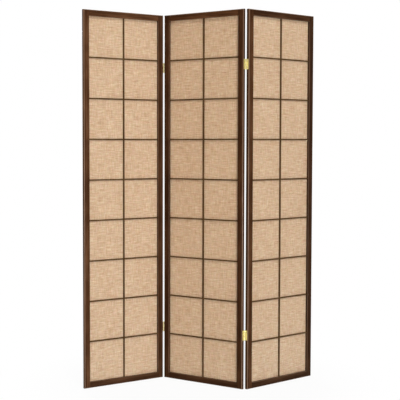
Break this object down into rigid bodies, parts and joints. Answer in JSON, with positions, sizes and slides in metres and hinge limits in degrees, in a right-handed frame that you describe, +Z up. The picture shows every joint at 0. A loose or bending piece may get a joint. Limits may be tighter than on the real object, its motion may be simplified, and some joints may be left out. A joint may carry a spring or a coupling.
{
  "type": "folding room divider",
  "caption": "Free-standing folding room divider: tall wood-framed panels with a thin lattice over woven cloth, joined by brass butt hinges so that they fold flat together.",
  "frame": {"origin": "on the floor, at the centre of the screen's footprint box in the rest pose", "axes": "+Z up along the hinge pins, +X across the screen from its left panel to its right panel, -Y out of the side that the lattice faces"},
  "size_m": [1.1312, 0.2774, 1.784],
  "materials": {
    "frame_wood": "walnut stain, satin",
    "lattice_wood": "walnut stain, satin",
    "cloth": "coarse tan plain weave",
    "hinge_brass": "polished"
  },
  "bodies": {
    "middle_panel": {"left_lower_hinge_middle_leaf": "hinge_brass", "left_lower_hinge_pin": "hinge_brass", "left_upper_hinge_middle_leaf": "hinge_brass", "left_upper_hinge_pin": "hinge_brass", "middle_panel_bottom_rail": "frame_wood", "middle_panel_cloth": "cloth", "middle_panel_crossbar_1": "lattice_wood", "middle_panel_crossbar_2": "lattice_wood", "middle_panel_crossbar_3": "lattice_wood", "middle_panel_crossbar_4": "lattice_wood", "middle_panel_crossbar_5": "lattice_wood", "middle_panel_crossbar_6": "lattice_wood", "middle_panel_crossbar_7": "lattice_wood", "middle_panel_crossbar_8": "lattice_wood", "middle_panel_left_stile": "frame_wood", "middle_panel_right_stile": "frame_wood", "middle_panel_stop_beads": "frame_wood", "middle_panel_top_rail": "frame_wood", "middle_panel_upright_bar": "lattice_wood", "right_lower_hinge_middle_leaf": "hinge_brass", "right_lower_hinge_pin": "hinge_brass", "right_upper_hinge_middle_leaf": "hinge_brass", "right_upper_hinge_pin": "hinge_brass"},
    "left_panel": {"left_lower_hinge_outer_leaf": "hinge_brass", "left_panel_bottom_rail": "frame_wood", "left_panel_cloth": "cloth", "left_panel_crossbar_1": "lattice_wood", "left_panel_crossbar_2": "lattice_wood", "left_panel_crossbar_3": "lattice_wood", "left_panel_crossbar_4": "lattice_wood", "left_panel_crossbar_5": "lattice_wood", "left_panel_crossbar_6": "lattice_wood", "left_panel_crossbar_7": "lattice_wood", "left_panel_crossbar_8": "lattice_wood", "left_panel_left_stile": "frame_wood", "left_panel_right_stile": "frame_wood", "left_panel_stop_beads": "frame_wood", "left_panel_top_rail": "frame_wood", "left_panel_upright_bar": "lattice_wood", "left_upper_hinge_outer_leaf": "hinge_brass"},
    "right_panel": {"right_lower_hinge_outer_leaf": "hinge_brass", "right_panel_bottom_rail": "frame_wood", "right_panel_cloth": "cloth", "right_panel_crossbar_1": "lattice_wood", "right_panel_crossbar_2": "lattice_wood", "right_panel_crossbar_3": "lattice_wood", "right_panel_crossbar_4": "lattice_wood", "right_panel_crossbar_5": "lattice_wood", "right_panel_crossbar_6": "lattice_wood", "right_panel_crossbar_7": "lattice_wood", "right_panel_crossbar_8": "lattice_wood", "right_panel_left_stile": "frame_wood", "right_panel_right_stile": "frame_wood", "right_panel_stop_beads": "frame_wood", "right_panel_top_rail": "frame_wood", "right_panel_upright_bar": "lattice_wood", "right_upper_hinge_outer_leaf": "hinge_brass"}
  },
  "joints": [
    {"name": "left_fold", "type": "hinge", "parent": "middle_panel", "child": "left_panel", "pos_m": [-0.17068, 0.12342, 0], "axis": [0, 0, 1], "range_deg": [-65.3, 114.7]},
    {"name": "right_fold", "type": "hinge", "parent": "middle_panel", "child": "right_panel", "pos_m": [0.19507, -0.12493, 0], "axis": [0, 0, 1], "range_deg": [-71.8, 108.2]}
  ]
}
